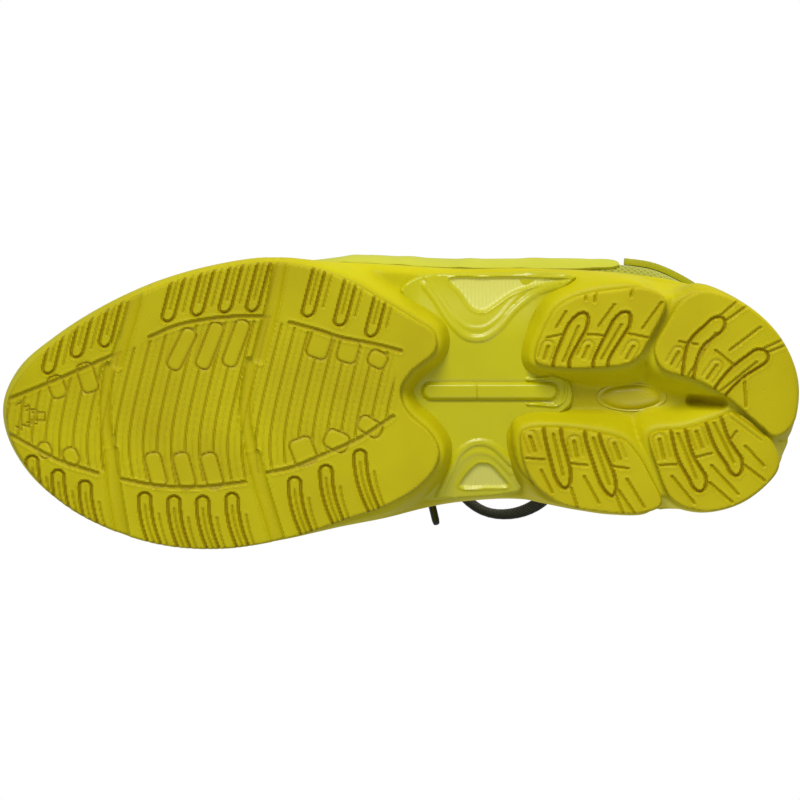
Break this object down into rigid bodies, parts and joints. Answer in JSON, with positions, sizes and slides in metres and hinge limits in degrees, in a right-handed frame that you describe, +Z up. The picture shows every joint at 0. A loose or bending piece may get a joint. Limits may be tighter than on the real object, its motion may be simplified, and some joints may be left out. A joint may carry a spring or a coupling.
{
  "type": "running shoe",
  "caption": "Left running shoe with a grooved rubber forefoot, split heel pads, an arch shank, a padded mesh upper, a lift-out sockliner and tied laces.",
  "frame": {"origin": "middle of the shoe's length and width, on the ground", "axes": "+X towards the toe, +Y towards the outer side of the left foot, +Z up"},
  "size_m": [0.2982, 0.11, 0.1312],
  "materials": {
    "outsole_rubber": "moulded, satin, fine ribbing",
    "midsole_foam": "moulded foam, satin skin",
    "arch_plastic": "glossy moulded",
    "cushion_gel": "smooth, slightly translucent",
    "upper_mesh": "coarse knitted mesh",
    "overlay_film": "welded matte film",
    "heel_plastic": "moulded, satin",
    "stiffener_board": "pressed sheet",
    "padding_foam": "open-cell foam",
    "lining_cloth": "brushed knit",
    "strobel_board": "needled sheet",
    "sockliner_foam": "cloth-faced foam",
    "lace_cloth": "flat woven, matte",
    "lace_tip_plastic": "shrunk film",
    "eyelet_plastic": "moulded"
  },
  "bodies": {
    "shoe": {"forefoot_outsole": "outsole_rubber", "heel_pad_lateral_front": "outsole_rubber", "heel_pad_lateral_rear": "outsole_rubber", "heel_pad_medial_rear": "outsole_rubber", "heel_pad_medial_front": "outsole_rubber", "midsole_foam": "midsole_foam", "arch_shank": "arch_plastic", "heel_cushion_insert": "cushion_gel", "forefoot_cushion_insert": "cushion_gel", "vamp": "upper_mesh", "lateral_quarter": "upper_mesh", "medial_quarter": "upper_mesh", "lateral_eyestay": "overlay_film", "medial_eyestay": "overlay_film", "lateral_side_band": "overlay_film", "medial_side_band": "overlay_film", "toe_guard": "overlay_film", "heel_cover": "heel_plastic", "heel_stiffener": "stiffener_board", "toe_puff": "stiffener_board", "collar_foam": "padding_foam", "lateral_side_lining": "lining_cloth", "medial_side_lining": "lining_cloth", "collar_lining": "lining_cloth", "vamp_lining": "lining_cloth", "collar_binding": "lining_cloth", "lasting_board": "strobel_board", "shoelace": "lace_cloth", "lace_tip_lateral": "lace_tip_plastic", "lace_tip_medial": "lace_tip_plastic", "lateral_eyelet_1": "eyelet_plastic", "medial_eyelet_1": "eyelet_plastic", "lateral_eyelet_2": "eyelet_plastic", "medial_eyelet_2": "eyelet_plastic", "lateral_eyelet_3": "eyelet_plastic", "medial_eyelet_3": "eyelet_plastic", "lateral_eyelet_4": "eyelet_plastic", "medial_eyelet_4": "eyelet_plastic", "lateral_eyelet_5": "eyelet_plastic", "medial_eyelet_5": "eyelet_plastic", "lateral_eyelet_6": "eyelet_plastic", "medial_eyelet_6": "eyelet_plastic"},
    "tongue": {"tongue_face": "upper_mesh", "tongue_foam": "padding_foam", "tongue_backing": "lining_cloth"},
    "sockliner": {"sockliner": "sockliner_foam"},
    "heel_loop": {"heel_pull_loop": "lace_cloth"}
  },
  "joints": [
    {"name": "tongue_hinge", "type": "hinge", "parent": "shoe", "child": "tongue", "pos_m": [0.07378, 0.00104, 0.057], "axis": [0, 1, 0], "range_deg": [-6, 0], "stiffness_Nm_per_rad": 0.4, "springref_deg": 3.44},
    {"name": "sockliner_lift", "type": "hinge", "parent": "shoe", "child": "sockliner", "pos_m": [0.13678, 0.00104, 0.034], "axis": [0, 1, 0], "range_deg": [0, 4]},
    {"name": "heel_loop_fold", "type": "hinge", "parent": "shoe", "child": "heel_loop", "pos_m": [-0.13322, 0.00104, 0.095], "axis": [0, 1, 0], "range_deg": [-50, 0], "stiffness_Nm_per_rad": 0.005}
  ]
}
